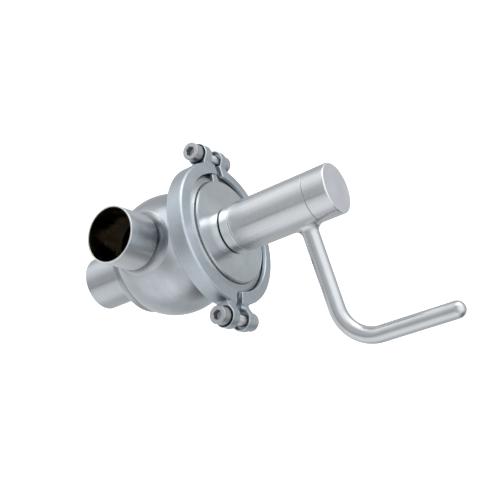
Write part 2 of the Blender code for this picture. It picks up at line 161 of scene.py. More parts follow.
def lathe(name, corners, mats, closed=True, segments=160, mat_of=None, ripple=None, **where):
    """A turned solid with filleted corners. corners run down the outer side, then up the inner.

    closed joins the last corner to the first; an open outline begins and ends on the axis. mat_of
    picks a face's material from (r, z, normal r, normal z), and ripple moves the points of a ring.
    """
    pts, nrm, edge = rounded_profile(corners, closed)
    theta = np.linspace(0, 2 * math.pi, segments, endpoint=False)
    cos, sin = np.cos(theta), np.sin(theta)
    ring = [i for i in range(len(pts)) if closed or 0 < i < len(pts) - 1]
    verts, normals, light_and_wear = [], [], []
    for i in ring:
        r = pts[i, 0] * np.ones(segments)
        z = pts[i, 1] * np.ones(segments)
        if ripple is not None:
            r, z = ripple(r, z, nrm[i], theta)
        verts.append(np.stack([r * cos, r * sin, z], 1))
        normals.append(np.stack([nrm[i, 0] * cos, nrm[i, 0] * sin, nrm[i, 1] * np.ones(segments)], 1))
        light_and_wear.append(np.full(segments, edge[i]))
    verts, normals, light_and_wear = np.concatenate(verts), np.concatenate(normals), np.concatenate(light_and_wear)
    rows = len(ring)
    faces = loft_faces(rows, segments, closed)
    profile_index = [ring[k // segments] for k in range(len(faces))]
    if not closed:
        top, bottom = len(verts), len(verts) + 1
        verts = np.vstack([verts, [[0, 0, pts[0, 1]], [0, 0, pts[-1, 1]]]])
        normals = np.vstack([normals, [[0, 0, nrm[0, 1]], [0, 0, nrm[-1, 1]]]])
        light_and_wear = np.append(light_and_wear, [0.0, 0.0])
        base = (rows - 1) * segments
        for j in range(segments):
            k = (j + 1) % segments
            faces.append((top, j, k))
            profile_index.append(0)
            faces.append((base + j, bottom, base + k))
            profile_index.append(len(pts) - 1)
    face_mats = None
    if mat_of is not None:
        face_mats = [mat_of(*pts[i], *nrm[i]) for i in profile_index]
    verts, normals = place(verts, normals, **where)
    return make_object(name, verts, faces, normals, light_and_wear, mats, face_mats)


def lifted(corners):
    """The same outline with heights from the bottom port's end face."""
    return [(r, z + LIFT, f) for r, z, f in corners]


def show(obj, body, slot, *nodes):
    """Make the mesh ride its body and stand in for the CAD nodes; slot is not used."""
    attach(obj, body)
    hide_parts(*nodes)
    return obj


# Signed distance fields, meshed by surface nets ---------------------------------------------------


def smooth_min(a, b, k):
    """Union of two distances with a blend about k wide."""
    h = np.clip(0.5 + 0.5 * (b - a) / k, 0, 1)
    return b * (1 - h) + a * h - k * h * (1 - h)


def smooth_max(a, b, k):
    """Intersection of two distances with a blend about k wide."""
    return -smooth_min(-a, -b, k)


def surface_nets(field, low, high, pitch):
    """Vertices, quads and exact normals of the zero surface of a distance field."""
    low = np.array(low, float)
    size = np.ceil((np.array(high, float) - low) / pitch).astype(int) + 1
    axes = [low[a] + pitch * np.arange(size[a]) for a in range(3)]
    grid = np.stack(np.meshgrid(*axes, indexing="ij"), -1)
    value = field(grid.reshape(-1, 3)).reshape(size)
    inside = value < 0
    cells = size - 1
    total, weight = np.zeros((*cells, 3)), np.zeros(tuple(cells))
    corner = [(i, j, k) for i in (0, 1) for j in (0, 1) for k in (0, 1)]

    def part(arr, c):
        return arr[c[0]:c[0] + cells[0], c[1]:c[1] + cells[1], c[2]:c[2] + cells[2]]

    for c0 in corner:
        for axis in range(3):
            if c0[axis]:
                continue
            c1 = tuple(v + (1 if a == axis else 0) for a, v in enumerate(c0))
            v0, v1 = part(value, c0), part(value, c1)
            crosses = part(inside, c0) != part(inside, c1)
            t = np.where(crosses, v0 / np.where(crosses, v0 - v1, 1.0), 0.0)
            for a in range(3):
                total[..., a] += crosses * (c0[a] + (t if a == axis else 0.0))
            weight += crosses
    active = weight > 0
    index = -np.ones(tuple(cells), int)
    index[active] = np.arange(active.sum())
    where = np.argwhere(active)
    verts = low + pitch * (where + total[active] / weight[active][:, None])
    quads = []
    for axis in range(3):
        b, c = [a for a in range(3) if a != axis]
        lo = [slice(None)] * 3
        hi = [slice(None)] * 3
        lo[axis], hi[axis] = slice(0, -1), slice(1, None)
        change = inside[tuple(lo)] != inside[tuple(hi)]
        where = np.argwhere(change)
        ok = (where[:, b] > 0) & (where[:, c] > 0) & (where[:, b] < cells[b]) & (where[:, c] < cells[c])
        where = where[ok]
        ring = []
        for db, dc in ((-1, -1), (0, -1), (0, 0), (-1, 0)):
            cell = where.copy()
            cell[:, b] += db
            cell[:, c] += dc
            ring.append(index[cell[:, 0], cell[:, 1], cell[:, 2]])
        quad = np.stack(ring, 1)
        flip = inside[tuple(where.T)] if axis != 1 else ~inside[tuple(where.T)]
        quad[~flip] = quad[~flip][:, ::-1]
        quads.append(quad)
    quads = np.concatenate(quads)

    def gradient(p, h=0.05):
        out = np.empty_like(p)
        for a in range(3):
            step = np.zeros(3)
            step[a] = h
            out[:, a] = field(p + step) - field(p - step)
        return out / (2 * h)

    for _ in range(3):
        g = gradient(verts)
        verts = verts - g * (field(verts) / np.maximum((g * g).sum(1), 0.2))[:, None]
    g = gradient(verts)
    normals = g / np.maximum(np.linalg.norm(g, axis=1), 1e-9)[:, None]
    return verts, quads, normals


def edge_mask(verts, quads, normals, pitch):
    """How convex the surface is at each vertex, from how its neighbours' normals open out."""
    out, count = np.zeros(len(verts)), np.zeros(len(verts))
    for a, b in ((0, 1), (1, 2), (2, 3), (3, 0)):
        i, j = quads[:, a], quads[:, b]
        bend = ((verts[j] - verts[i]) * (normals[j] - normals[i])).sum(1) / pitch
        for k in (i, j):
            np.add.at(out, k, bend)
            np.add.at(count, k, 1)
    return np.clip(out / np.maximum(count, 1) * 2.2, -1, 1)


def cast_object(name, field, low, high, pitch, mats):
    """A mesh object of a distance field written with heights from the body centre."""
    verts, quads, normals = surface_nets(field, low, high, pitch)
    light_and_wear = edge_mask(verts, quads, normals, pitch)
    verts = verts + np.array((0, 0, LIFT))
    return make_object(name, verts, quads.tolist(), normals, light_and_wear, mats)


# ------------------------------------------------------------------------------------------------
# Finishes
# ------------------------------------------------------------------------------------------------


class Nodes:
    """Small helper that builds a node tree left to right."""

    def __init__(self, name):
        self.mat = bpy.data.materials.new(name)
        self.mat.use_nodes = True
        self.tree = self.mat.node_tree
        self.shader = self.tree.nodes["Principled BSDF"]

    def add(self, kind, **values):
        node = self.tree.nodes.new(kind)
        for key, value in values.items():
            if hasattr(node, key):
                setattr(node, key, value)
            else:
                node.inputs[key.replace("_", " ").title()].default_value = value
        return node

    def link(self, source, target):
        self.tree.links.new(source, target)

    def math(self, operation, a, b=None, clamp=False):
        node = self.tree.nodes.new("ShaderNodeMath")
        node.operation = operation
        node.use_clamp = clamp
        for socket, value in zip(node.inputs, (a, b)):
            if value is None:
                continue
            if isinstance(value, (int, float)):
                socket.default_value = value
            else:
                self.link(value, socket)
        return node.outputs[0]

    def noise(self, vector, scale, detail, rough):
        node = self.tree.nodes.new("ShaderNodeTexNoise")
        node.inputs["Scale"].default_value = scale
        node.inputs["Detail"].default_value = detail
        node.inputs["Roughness"].default_value = rough
        self.link(vector, node.inputs["Vector"])
        return node.outputs["Fac"]

    def stretch(self, vector, scale, rotation=(0, 0, 0), location=(0, 0, 0)):
        node = self.tree.nodes.new("ShaderNodeMapping")
        node.inputs["Location"].default_value = location
        node.inputs["Rotation"].default_value = rotation
        node.inputs["Scale"].default_value = scale
        self.link(vector, node.inputs["Vector"])
        return node.outputs[0]

    def ramp(self, value, low, high, out_low, out_high):
        node = self.tree.nodes.new("ShaderNodeMapRange")
        node.inputs["From Min"].default_value = low
        node.inputs["From Max"].default_value = high
        node.inputs["To Min"].default_value = out_low
        node.inputs["To Max"].default_value = out_high
        self.link(value, node.inputs["Value"])
        return node.outputs[0]

    def blend(self, factor, a, b):
        node = self.tree.nodes.new("ShaderNodeMix")
        node.data_type = "RGBA"
        for socket, value in ((node.inputs[0], factor), (node.inputs[6], a), (node.inputs[7], b)):
            if isinstance(value, tuple):
                socket.default_value = (*value, 1.0)
            elif isinstance(value, (int, float)):
                socket.default_value = value
            else:
                self.link(value, socket)
        return node.outputs[2]

    def bump(self, height, strength, distance):
        node = self.tree.nodes.new("ShaderNodeBump")
        node.inputs["Strength"].default_value = strength
        node.inputs["Distance"].default_value = distance
        self.link(height, node.inputs["Height"])
        self.link(node.outputs[0], self.shader.inputs["Normal"])


def polar(nodes, axis):
    """(radius, angle, height) of the shading point about the stem ("Z") or the side ports ("X")."""
    coord = nodes.add("ShaderNodeTexCoord").outputs["Object"]
    if axis == "X":
        moved = nodes.stretch(coord, (1, 1, 1), location=(0, 0, -LIFT * MM))
        coord = nodes.stretch(moved, (1, 1, 1), rotation=(0, -math.pi / 2, 0))
    split = nodes.add("ShaderNodeSeparateXYZ")
    nodes.link(coord, split.inputs[0])
    x, y, z = split.outputs
    squares = nodes.math("ADD", nodes.math("MULTIPLY", x, x), nodes.math("MULTIPLY", y, y))
    return nodes.math("SQRT", squares), nodes.math("ARCTAN2", y, x), z


def shade(base, factor):
    return tuple(min(1.0, c * factor) for c in base)


CREVICE_REACH = 0.005     # metres within which another surface darkens the colour, as painted shade
PAINTED_SHADE_COVER = 0.85        # share of the base colour that the painted shade hides where a surface is most shut in
BUMP_DEPTH = 0.00012      # metres, for a bump strength of one


def steel(name, base, rough, grain=None, grain_scale=400.0, grain_depth=0.25, mottling=0.06, pit=0.0,
          blotch=0.05, light_and_wear=0.25, fine_amount=1.0, painted_shade_span=(0.15, 0.6), spread=0.0, axis="Z"):
    """Stainless steel with a machining grain and cloudy roughness; edges painted lighter (wear and
    painted highlight) and crevices darker (painted shade).

    grain: 'along' gives streaks along the axis, 'around' rings about it, None a bead-blasted grain.
    blotch is the cloudy change of roughness, mottling that of colour, and fine_amount scales what
    the grain adds to both. Painted shade darkens the colour where the ambient occlusion is low and
    fades out over painted_shade_span of it. light_and_wear is how much convex edges are lightened,
    as wear and painted highlight, and smoothed. spread blurs reflections across the turning marks,
    which run about the axis.
    """
    n = Nodes(name)
    coord = n.add("ShaderNodeTexCoord").outputs["Object"]
    cloud = n.noise(coord, 38.0, 4.0, 0.6)
    if grain:
        radius, around, z = polar(n, axis)
        vec = n.add("ShaderNodeCombineXYZ")
        if grain == "along":
            n.link(n.math("COSINE", around), vec.inputs[0])
            n.link(n.math("SINE", around), vec.inputs[1])
            n.link(n.math("MULTIPLY", z, 6.0), vec.inputs[2])
            across = grain_scale / 20
            streak = n.noise(n.stretch(vec.outputs[0], (across, across, 1.0)), 1.0, 4.0, 0.7)
        else:
            n.link(n.math("MULTIPLY", radius, grain_scale), vec.inputs[0])
            n.link(n.math("MULTIPLY", z, grain_scale), vec.inputs[1])
            n.link(n.math("MULTIPLY", around, 0.35), vec.inputs[2])
            streak = n.noise(vec.outputs[0], 1.0, 4.0, 0.7)
    else:
        streak = n.noise(coord, 900.0, 2.0, 0.5)
    edge = n.add("ShaderNodeAttribute", attribute_name="edge_light_and_wear").outputs["Fac"]
    patchy = n.ramp(cloud, 0.35, 0.65, 0.5, 1.0)
    # convex edges: partly wear, partly painted highlight
    worn_and_highlit = n.math("MULTIPLY", n.math("MAXIMUM", edge, 0.0), patchy, True)
    # concave corners, to be darkened as painted shade
    inner_corner = n.math("MAXIMUM", n.math("MULTIPLY", edge, -1.0), 0.0)
    painted_corner_shade = n.math("MULTIPLY", inner_corner, 0.5, True)
    # ambient occlusion picks out near-shut places for the painted shade
    hollow = n.add("ShaderNodeAmbientOcclusion", samples=4, only_local=False)
    hollow.inputs["Distance"].default_value = CREVICE_REACH
    painted_shade = n.ramp(hollow.outputs["AO"], painted_shade_span[0], painted_shade_span[1], 1.0, 0.0)
    cloudy = n.ramp(cloud, 0.3, 0.7, 0.0, 1.0)
    colour = n.blend(cloudy, shade(base, 1 - 2.2 * mottling), shade(base, 1 + mottling))
    colour = n.blend(n.ramp(streak, 0.35, 0.75, 0.0, 0.35 * fine_amount), colour, shade(base, 0.78))
    # edges lighter: wear and painted highlight
    colour = n.blend(worn_and_highlit, colour, shade(base, 1 + 1.4 * light_and_wear))
    # painted shade in concave corners
    colour = n.blend(painted_corner_shade, colour, shade(base, 0.35))
    # painted shade: near-shut places darkened towards black
    colour = n.blend(n.math("MULTIPLY", painted_shade, PAINTED_SHADE_COVER), colour, shade(base, 0.08))
    n.link(colour, n.shader.inputs["Base Color"])
    roughness = n.math("ADD", n.ramp(cloud, 0.3, 0.7, rough - blotch, rough + blotch),
                       n.ramp(streak, 0.3, 0.7, -0.04 * fine_amount, 0.05 * fine_amount))
    roughness = n.math("SUBTRACT", roughness, n.math("MULTIPLY", worn_and_highlit, light_and_wear * 0.4), True)
    n.link(roughness, n.shader.inputs["Roughness"])
    height = streak
    if pit:
        height = n.math("ADD", streak, n.math("MULTIPLY", n.noise(coord, 260.0, 3.0, 0.7), pit))
    n.bump(height, grain_depth, BUMP_DEPTH)
    n.shader.inputs["Metallic"].default_value = 1.0
    if spread:
        tangent = n.add("ShaderNodeTangent", direction_type="RADIAL", axis=axis)
        n.link(tangent.outputs[0], n.shader.inputs["Tangent"])
        n.shader.inputs["Anisotropic"].default_value = spread
        n.shader.inputs["Anisotropic Rotation"].default_value = 0.25
    return n.mat


def polymer(name, base, rough, speckle=0.1):
    """Rubber or PTFE with a faint cloudiness and a fine matt grain."""
    n = Nodes(name)
    coord = n.add("ShaderNodeTexCoord").outputs["Object"]
    cloud = n.noise(coord, 120.0, 4.0, 0.6)
    fine = n.noise(coord, 1500.0, 2.0, 0.6)
    colour = n.blend(n.ramp(cloud, 0.3, 0.7, 0.0, 1.0), shade(base, 1 - speckle), base)
    n.link(colour, n.shader.inputs["Base Color"])
    n.link(n.ramp(fine, 0.3, 0.7, rough - 0.06, rough + 0.06), n.shader.inputs["Roughness"])
    n.bump(fine, 0.3, 0.0001)
    return n.mat


OPEN_PAINTED_SHADE = (0.0, 0.2)       # painted shade only where a surface is almost shut in
BORE_PAINTED_SHADE = (0.0, 0.02)      # no painted shade inside the ports

BLASTED = steel("blasted_casting", (0.59, 0.64, 0.68), 0.36, None, grain_depth=0.28, pit=0.5,
                mottling=0.05, painted_shade_span=(0.15, 0.7))
BODY_STEEL = steel("polished_body", (0.51, 0.535, 0.56), 0.22, "around", 500.0, 0.04, 0.04,
                   painted_shade_span=OPEN_PAINTED_SHADE)
# one tube steel in two copies: the side tubes lighter as painted light, the bottom tube darker as
# painted shade
TUBE_SIDE_PAINTED_LIGHT = steel("tube_side_painted_light", (0.76, 0.78, 0.80), 0.28, "around", 900.0, 0.01, 0.04,
               painted_shade_span=OPEN_PAINTED_SHADE, fine_amount=0.3, spread=0.85, axis="X")
TUBE_BOTTOM_PAINTED_SHADE = steel("tube_bottom_painted_shade", (0.58, 0.60, 0.62), 0.27, "around", 900.0, 0.01, 0.04,
               painted_shade_span=OPEN_PAINTED_SHADE, fine_amount=0.3, spread=0.8)
BLEND = steel("tube_blend", (0.60, 0.62, 0.645), 0.22, "around", 900.0, 0.05, 0.04,
              painted_shade_span=OPEN_PAINTED_SHADE, axis="X")
BORE = steel("bore_steel", (0.76, 0.68, 0.54), 0.13, "around", 500.0, 0.05, 0.08,
             painted_shade_span=BORE_PAINTED_SHADE)
# near-black steel for the plug and the body's inner faces: painted shade for the unlit inside of the
# ports
INNER_PAINTED_SHADE = steel("inner_painted_shade", (0.03, 0.028, 0.025), 0.30, "around", 500.0, 0.05, 0.10,
              painted_shade_span=BORE_PAINTED_SHADE)
HUB_STEEL = steel("hub_brushed", (0.76, 0.765, 0.775), 0.23, "along", 500.0, 0.03, 0.03, light_and_wear=0.05,
                  painted_shade_span=OPEN_PAINTED_SHADE, spread=0.95)
CAP_FACE = steel("cap_face", (0.84, 0.84, 0.88), 0.46, "around", 900.0, 0.10, 0.04)
ROD_STEEL = steel("rod_satin", (0.74, 0.75, 0.76), 0.21, None, grain_depth=0.01, mottling=0.03,
                  light_and_wear=0.0, fine_amount=0.2)
PLATE = steel("bonnet_turned", (0.63, 0.67, 0.69), 0.24, "around", 1400.0, 0.05, 0.04, blotch=0.03,
              spread=0.8)
RING = steel("gland_polished", (0.97, 0.97, 0.97), 0.12, "around", 900.0, 0.04, 0.01, blotch=0.02)
SCREW = steel("screw_steel", (0.60, 0.61, 0.62), 0.34, None, grain_depth=0.2, mottling=0.05,
              painted_shade_span=(0.25, 0.8))
HIDDEN_STEEL = steel("machined_steel", (0.62, 0.63, 0.64), 0.30, "around", 900.0, 0.15, 0.05)
SEAL = polymer("seal_rubber", (0.03, 0.03, 0.032), 0.55)
PTFE = polymer("ptfe_white", (0.86, 0.86, 0.83), 0.42, 0.04)

# ------------------------------------------------------------------------------------------------
# Body, port tubes and blended welds
# ------------------------------------------------------------------------------------------------


def seat_radius(z):
    """Radius of the tapered seat at a height."""
    return 40.9 + 0.0353 * z


def apply_cut(obj, cutter):
    """Cut a hole with an exact Boolean and bake it into the mesh."""
    mod = obj.modifiers.new("cut", "BOOLEAN")
    mod.object = cutter
    mod.operation = "DIFFERENCE"
    mod.solver = "EXACT"
    bpy.context.view_layer.update()
    graph = bpy.context.evaluated_depsgraph_get()
    mesh = bpy.data.meshes.new_from_object(obj.evaluated_get(graph))
    obj.modifiers.clear()
    old = obj.data
    obj.data = mesh
    bpy.data.meshes.remove(old)
    bpy.data.objects.remove(cutter, do_unlink=True)
    mesh.set_sharp_from_angle(angle=math.radians(28))
    return obj


top_angle = math.acos(NECK_R / SPHERE_R)
low_angle = -math.acos(BOSS_R / SPHERE_R)
sphere_line = []
ROWS = 72
for i in range(ROWS + 1):
    t = top_angle + (low_angle - top_angle) * i / ROWS
    sphere_line.append((SPHERE_R * math.cos(t), SPHERE_R * math.sin(t), 0.0))
sphere_line[0] = (*sphere_line[0][:2], 2.5)
sphere_line[-1] = (*sphere_line[-1][:2], 0.9)
body_outline = [
    (43.2, 53.0, 0.3), (50.0, 53.0, 0.2), (50.0, 51.0, 0.2), (55.0, 51.0, 0.2), (55.0, 53.0, 0.2),
    (FLANGE_R, 53.0, 0.4), (FLANGE_R, 49.5, 0.4), (49.5, 45.8, 2.0), (NECK_R, 43.5, 1.5),
    *sphere_line,
    (BOSS_R, BOSS_FACE, 1.2), (TUBE_R + 0.3, BOSS_FACE, 0.1), (TUBE_R + 0.3, BOSS_FACE + 3.3, 0.1),
    (BORE_R, BOSS_FACE + 3.3, 0.1), (BORE_R, -35.3, 0.4),
    (seat_radius(-35.3), -35.3, 0.3), (seat_radius(37.5), 37.5, 0.3), (43.2, 38.6, 0.3),
]
body = lathe("valve_body_shell", lifted(body_outline), [BODY_STEEL, INNER_PAINTED_SHADE], segments=192)
side_bore = [
    (0, 62, 0), (TUBE_R + 0.3, 62, 0.01), (TUBE_R + 0.3, SOCKET_AT, 0.01), (BORE_R, SOCKET_AT, 0.01),
    (BORE_R, -SOCKET_AT, 0.01), (TUBE_R + 0.3, -SOCKET_AT, 0.01), (TUBE_R + 0.3, -62, 0.01),
    (0, -62, 0),
]
cutter = lathe("side_bore_cutter", side_bore, [INNER_PAINTED_SHADE], closed=False, segments=120, axis="X",
               offset=(0, 0, LIFT))
apply_cut(body, cutter)
# seat, passages and tube sockets take the near-black inner colour, a painted shade
for poly in body.data.polygons:
    c = poly.center
    r = math.hypot(c.x, c.y)
    z = c.z / MM - LIFT
    out = math.sqrt(c.x ** 2 + c.y ** 2 + (c.z - LIFT * MM) ** 2) / MM
    if (out < 52.5 and z < 40 and z > BOSS_FACE + 0.2 and r / MM < 43.3) or (
            abs(c.y) < 0.0258 and math.hypot(c.y, c.z - LIFT * MM) < 0.0258):
        poly.material_index = 1
show(body, FIXED, CAST, "valve_body")


def tube(name, mat, start, end, **where):
    """An open tube end, its bore a darker drawn surface than its outside."""
    outline = [(BORE_R, end, 0.45), (TUBE_R, end, 0.55), (TUBE_R, start, 0.3), (BORE_R, start, 0.3)]

    def inner_face(r, z, nr, nz):
        return 1 if nr < -0.5 else 0

    return lathe(name, outline, [mat, BORE], segments=160, mat_of=inner_face, **where)


def blend_outline(fillet, skin=0.06):
    """Fillet from a side tube onto the sphere, heights along the port axis."""
    rc = TUBE_R + fillet
    zc = math.sqrt((SPHERE_R + fillet) ** 2 - rc ** 2)
    start = math.pi
    end = math.pi + math.atan2(zc, rc)
    line = []
    for i in range(25):
        t = start + (end - start) * i / 24
        line.append((rc + (fillet - skin) * math.cos(t), zc + (fillet - skin) * math.sin(t), 0.0))
    foot_r, foot_z = line[-1][:2]
    return line + [(foot_r - 0.6, foot_z - 1.2, 0.0), (TUBE_R + 0.02, foot_z - 1.6, 0.0)]


def weld_ripple(depth):
    """Faint unevenness round a weld, as a ripple for lathe()."""
    def ripple(r, z, normal, theta):
        wave = depth * (np.sin(theta * 46) * 0.5 + np.sin(theta * 17 + 1.3) * 0.5)
        return r + wave * normal[0], z + wave * normal[1]
    return ripple


for label, turn in (("front", 0.0), ("rear", 180.0)):
    where = dict(axis="X", angle=turn, offset=(0, 0, LIFT))
    pipe = tube("side_port_tube_" + label, TUBE_SIDE_PAINTED_LIGHT, SOCKET_AT + 0.3, PORT_REACH, **where)
    show(pipe, FIXED, BRUSHED, "side_tube_" + label)
    weld = lathe("side_port_blend_" + label, blend_outline(FILLET), [BLEND], segments=160, **where)
    show(weld, FIXED, CAST, "side_weld_" + label)

bottom_outline = [
    (BORE_R, -37.8, 0.3), (TUBE_R, -37.8, 0.3), (TUBE_R, -PORT_REACH, 0.55),
    (BORE_R, -PORT_REACH, 0.45),
]
pipe = lathe("bottom_port_tube", lifted(bottom_outline), [TUBE_BOTTOM_PAINTED_SHADE, BORE], segments=160,
             mat_of=lambda r, z, nr, nz: 1 if nr < -0.5 else 0)
show(pipe, FIXED, BRUSHED, "bottom_tube")
# quarter-round weld under the body's bottom pad
base_fillet = [(TUBE_R + 0.02, BOSS_FACE + 0.5, 0.0), (TUBE_R + 5.0, BOSS_FACE + 0.5, 0.0)]
for i in range(13):
    t = math.radians(90 - 90 * i / 12)
    base_fillet.append((TUBE_R + 5.05 - 5.0 * math.cos(t), BOSS_FACE - 5.05 + 5.0 * math.sin(t), 0.0))
weld = lathe("bottom_port_blend", lifted(base_fillet), [TUBE_BOTTOM_PAINTED_SHADE], segments=160,
             ripple=weld_ripple(0.015))
show(weld, FIXED, CAST, "bottom_weld")

# ------------------------------------------------------------------------------------------------
# Plug, seen through the ports
# ------------------------------------------------------------------------------------------------
plug_outline = [
    (0, 40.0, 0), (40.0, 40.0, 0.5), (seat_radius(38.0) - 0.4, 37.8, 0.4),
    (seat_radius(-34.5) - 0.3, -34.2, 0.4), (38.4, -35.0, 0.3), (0, -35.0, 0),
]
plug = lathe("plug_core", lifted(plug_outline), [INNER_PAINTED_SHADE], closed=False, segments=160)
PASSAGE_R = 22.5
down = [(0, 15, 0), (PASSAGE_R, 15, 0.8), (PASSAGE_R, -45, 0.01), (0, -45, 0)]
aside = [(0, 48, 0), (PASSAGE_R, 48, 0.01), (PASSAGE_R, -12, 0.8), (0, -12, 0)]
for outline, axis in ((down, "Z"), (aside, "X")):
    cutter = lathe("plug_cutter", outline, [INNER_PAINTED_SHADE], closed=False, segments=96, axis=axis,
                   angle=HANDLE_AZIMUTH if axis == "X" else 0.0, offset=(0, 0, LIFT))
    apply_cut(plug, cutter)
show(plug, TURNING, BRIGHT, "plug")

# ------------------------------------------------------------------------------------------------
# Bonnet and gland ring
# ------------------------------------------------------------------------------------------------
bonnet_outline = [
    (15.0, CROWN_TOP, 0.3), (21.5, CROWN_TOP, 8.0), (47.2, DISC_TOP, 0.15), (47.35, 63.8, 0.1),
    (47.6, 63.8, 0.1), (47.9, 64.1, 0.2), (48.4, 63.2, 0.4), (48.8, 60.9, 0.6), (51.0, 60.0, 0.6),
    (FLANGE_R, 57.1, 0.4), (FLANGE_R, 53.6, 0.4), (42.9, 53.6, 0.2), (42.9, 45.0, 0.6),
    (15.0, 45.0, 0.4),
]
bonnet = lathe("bonnet_plate", lifted(bonnet_outline), [PLATE], segments=224)
show(bonnet, FIXED, BRIGHT, "bonnet")


def rounded_box(p, low, high, radius):
    """Signed distance to a box with rounded edges."""
    centre = (np.array(low) + np.array(high)) / 2
    half = (np.array(high) - np.array(low)) / 2 - radius
    q = np.abs(p - centre) - half
    return np.linalg.norm(np.maximum(q, 0), axis=1) + np.minimum(q.max(1), 0) - radius


LUG_TURN = 11.5     # degrees


def lug_field(p):
    """A tab on the disc's rim, LUG_TURN round from -Y and a little wider at its root."""
    turn = math.radians(LUG_TURN)
    along = p[:, 0] * math.cos(turn) + p[:, 1] * math.sin(turn)
    out = -p[:, 0] * math.sin(turn) + p[:, 1] * math.cos(turn)
    flare = 1.0 + 0.06 * (out + 54.6)
    local = np.stack([along / flare, out, p[:, 2]], 1)
    return rounded_box(local, (-3.4, -54.6, 58.0), (3.4, -46.6, 63.9), 0.6)


lug = cast_object("bonnet_locating_lug", lug_field, (2, -57, 56), (19, -42, 66), 0.5, [PLATE])
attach(lug, FIXED)

gland_outline = [
    (10.3, 75.3, 0.4), (21.2, 75.3, 0.9), (21.2, 66.3, 0.5), (14.7, 66.3, 0.3), (14.7, 50.0, 0.3),
    (10.3, 50.0, 0.3),
]
gland = lathe("gland_collar", lifted(gland_outline), [RING], segments=160)
show(gland, FIXED, BRIGHT, "gland_ring")

# ------------------------------------------------------------------------------------------------
# Clamp halves
# ------------------------------------------------------------------------------------------------
CAST_R = 0.9                          # rounding of the casting's free corners
FRONT_HOLE_R, REAR_HOLE_R = 5.5, 5.3
COUNTERBORE_R, COUNTERBORE_FROM = 9.1, 13.6
REAR_RECESS_R, REAR_RECESS_FROM = 8.7, -10.6
EAR_BOSS_R = 8.5


def groove_half(r):
    """Half the height of the groove that grips the two flanges, at a radius."""
    return 3.8 + (FLANGE_R - r) * (3.5 / 9.5) + 0.33


def ear_outline(out, z):
    """Round eye that runs straight in towards the ring and then narrows down to the web."""
    eye = np.hypot(out, z) - EAR_R
    shoulder = -0.42 * (out + 2.0) + 0.907 * (z - 10.5)
    block = np.maximum(np.maximum(shoulder, z - 10.5), np.maximum(out - 0.5, -15.0 - out))
    return smooth_min(eye, block, 0.8)


def clamp_field(side):
    """Signed distance to the front (side 1) or rear (side -1) clamp half."""
    def field(p):
        x, y, z = p[:, 0], p[:, 1], np.abs(p[:, 2] - CLAMP_MID)
        r = np.hypot(x, y)
        face = (z - (9.7 - 0.151 * (r - 57.0))) * 0.989
        bevel = (z - 7.0 + (r - CLAMP_R)) * 0.707
        ring = smooth_max(r - CLAMP_R, LIP_R - r, 0.6)
        ring = smooth_max(ring, face, 1.0)
        ring = smooth_max(ring, bevel, 0.5)
        ring = smooth_max(ring, SPLIT_HALF - side * x, CAST_R)
        out = np.where(y < 0, -y + EAR_LEFT[1], y - EAR_RIGHT[1])
        along = np.where(y < 0, x - EAR_LEFT[0], x - EAR_RIGHT[0])
        outline = ear_outline(out, z)
        local = np.stack([along, out, z], 1)
        axis = np.hypot(out, z)
        if side > 0:
            ear = smooth_max(outline, np.abs(along - 12.0) - 5.0, CAST_R)
            web = rounded_box(local, (4.0, -17.0, -6.4), (14.0, -8.0, 6.4), 1.5)
            recess = np.maximum(axis - COUNTERBORE_R, COUNTERBORE_FROM - along)
            hole = np.minimum(axis - FRONT_HOLE_R, recess)
        else:
            ear = smooth_max(outline, np.abs(along + 11.0) - 4.0, CAST_R)
            boss = smooth_max(axis - EAR_BOSS_R, np.abs(along + 18.5) - 8.6, 0.6)
            boss = smooth_max(boss, (axis - EAR_BOSS_R + (-along - 24.3)) * 0.707, 0.8)
            ear = smooth_min(ear, boss, 2.0)
            web = rounded_box(local, (-14.0, -17.0, -6.4), (-4.0, -8.0, 6.4), 1.5)
            recess = np.maximum(axis - REAR_RECESS_R, REAR_RECESS_FROM - along)
            hole = np.minimum(axis - REAR_HOLE_R, recess)
        half = smooth_min(smooth_min(ear, web, 2.0), ring, 2.2)
        half = smooth_max(half, SPLIT_HALF - side * x, CAST_R)
        half = smooth_max(half, -np.maximum(r - (FLANGE_R + 0.6), z - groove_half(r)), 0.5)
        return smooth_max(half, -hole, 0.6)
    return field


# grid pitch of the castings
PITCH = 0.6
for label, side in (("front", 1), ("rear", -1)):
    x_span = (2.0, 70.0) if side > 0 else (-70.0, -2.0)
    half = cast_object("clamp_casting_" + label, clamp_field(side), (x_span[0], -90, 41),
                       (x_span[1], 90, 66), PITCH, [BLASTED])
    show(half, FIXED, CAST, "clamp_half_" + label)

# ------------------------------------------------------------------------------------------------
# Clamp screws
# ------------------------------------------------------------------------------------------------
THREAD_R, THREAD_PITCH, THREAD_DEPTH, THREAD_FROM = 5.0, 1.5, 0.75, 9.0
SOCKET_FLATS = 8.0


def hex_radius(theta, flats):
    """Distance to a hexagon's side in a direction, for its width across flats."""
    wedge = (theta % (math.pi / 3)) - math.pi / 6
    return flats / 2 / np.cos(wedge)


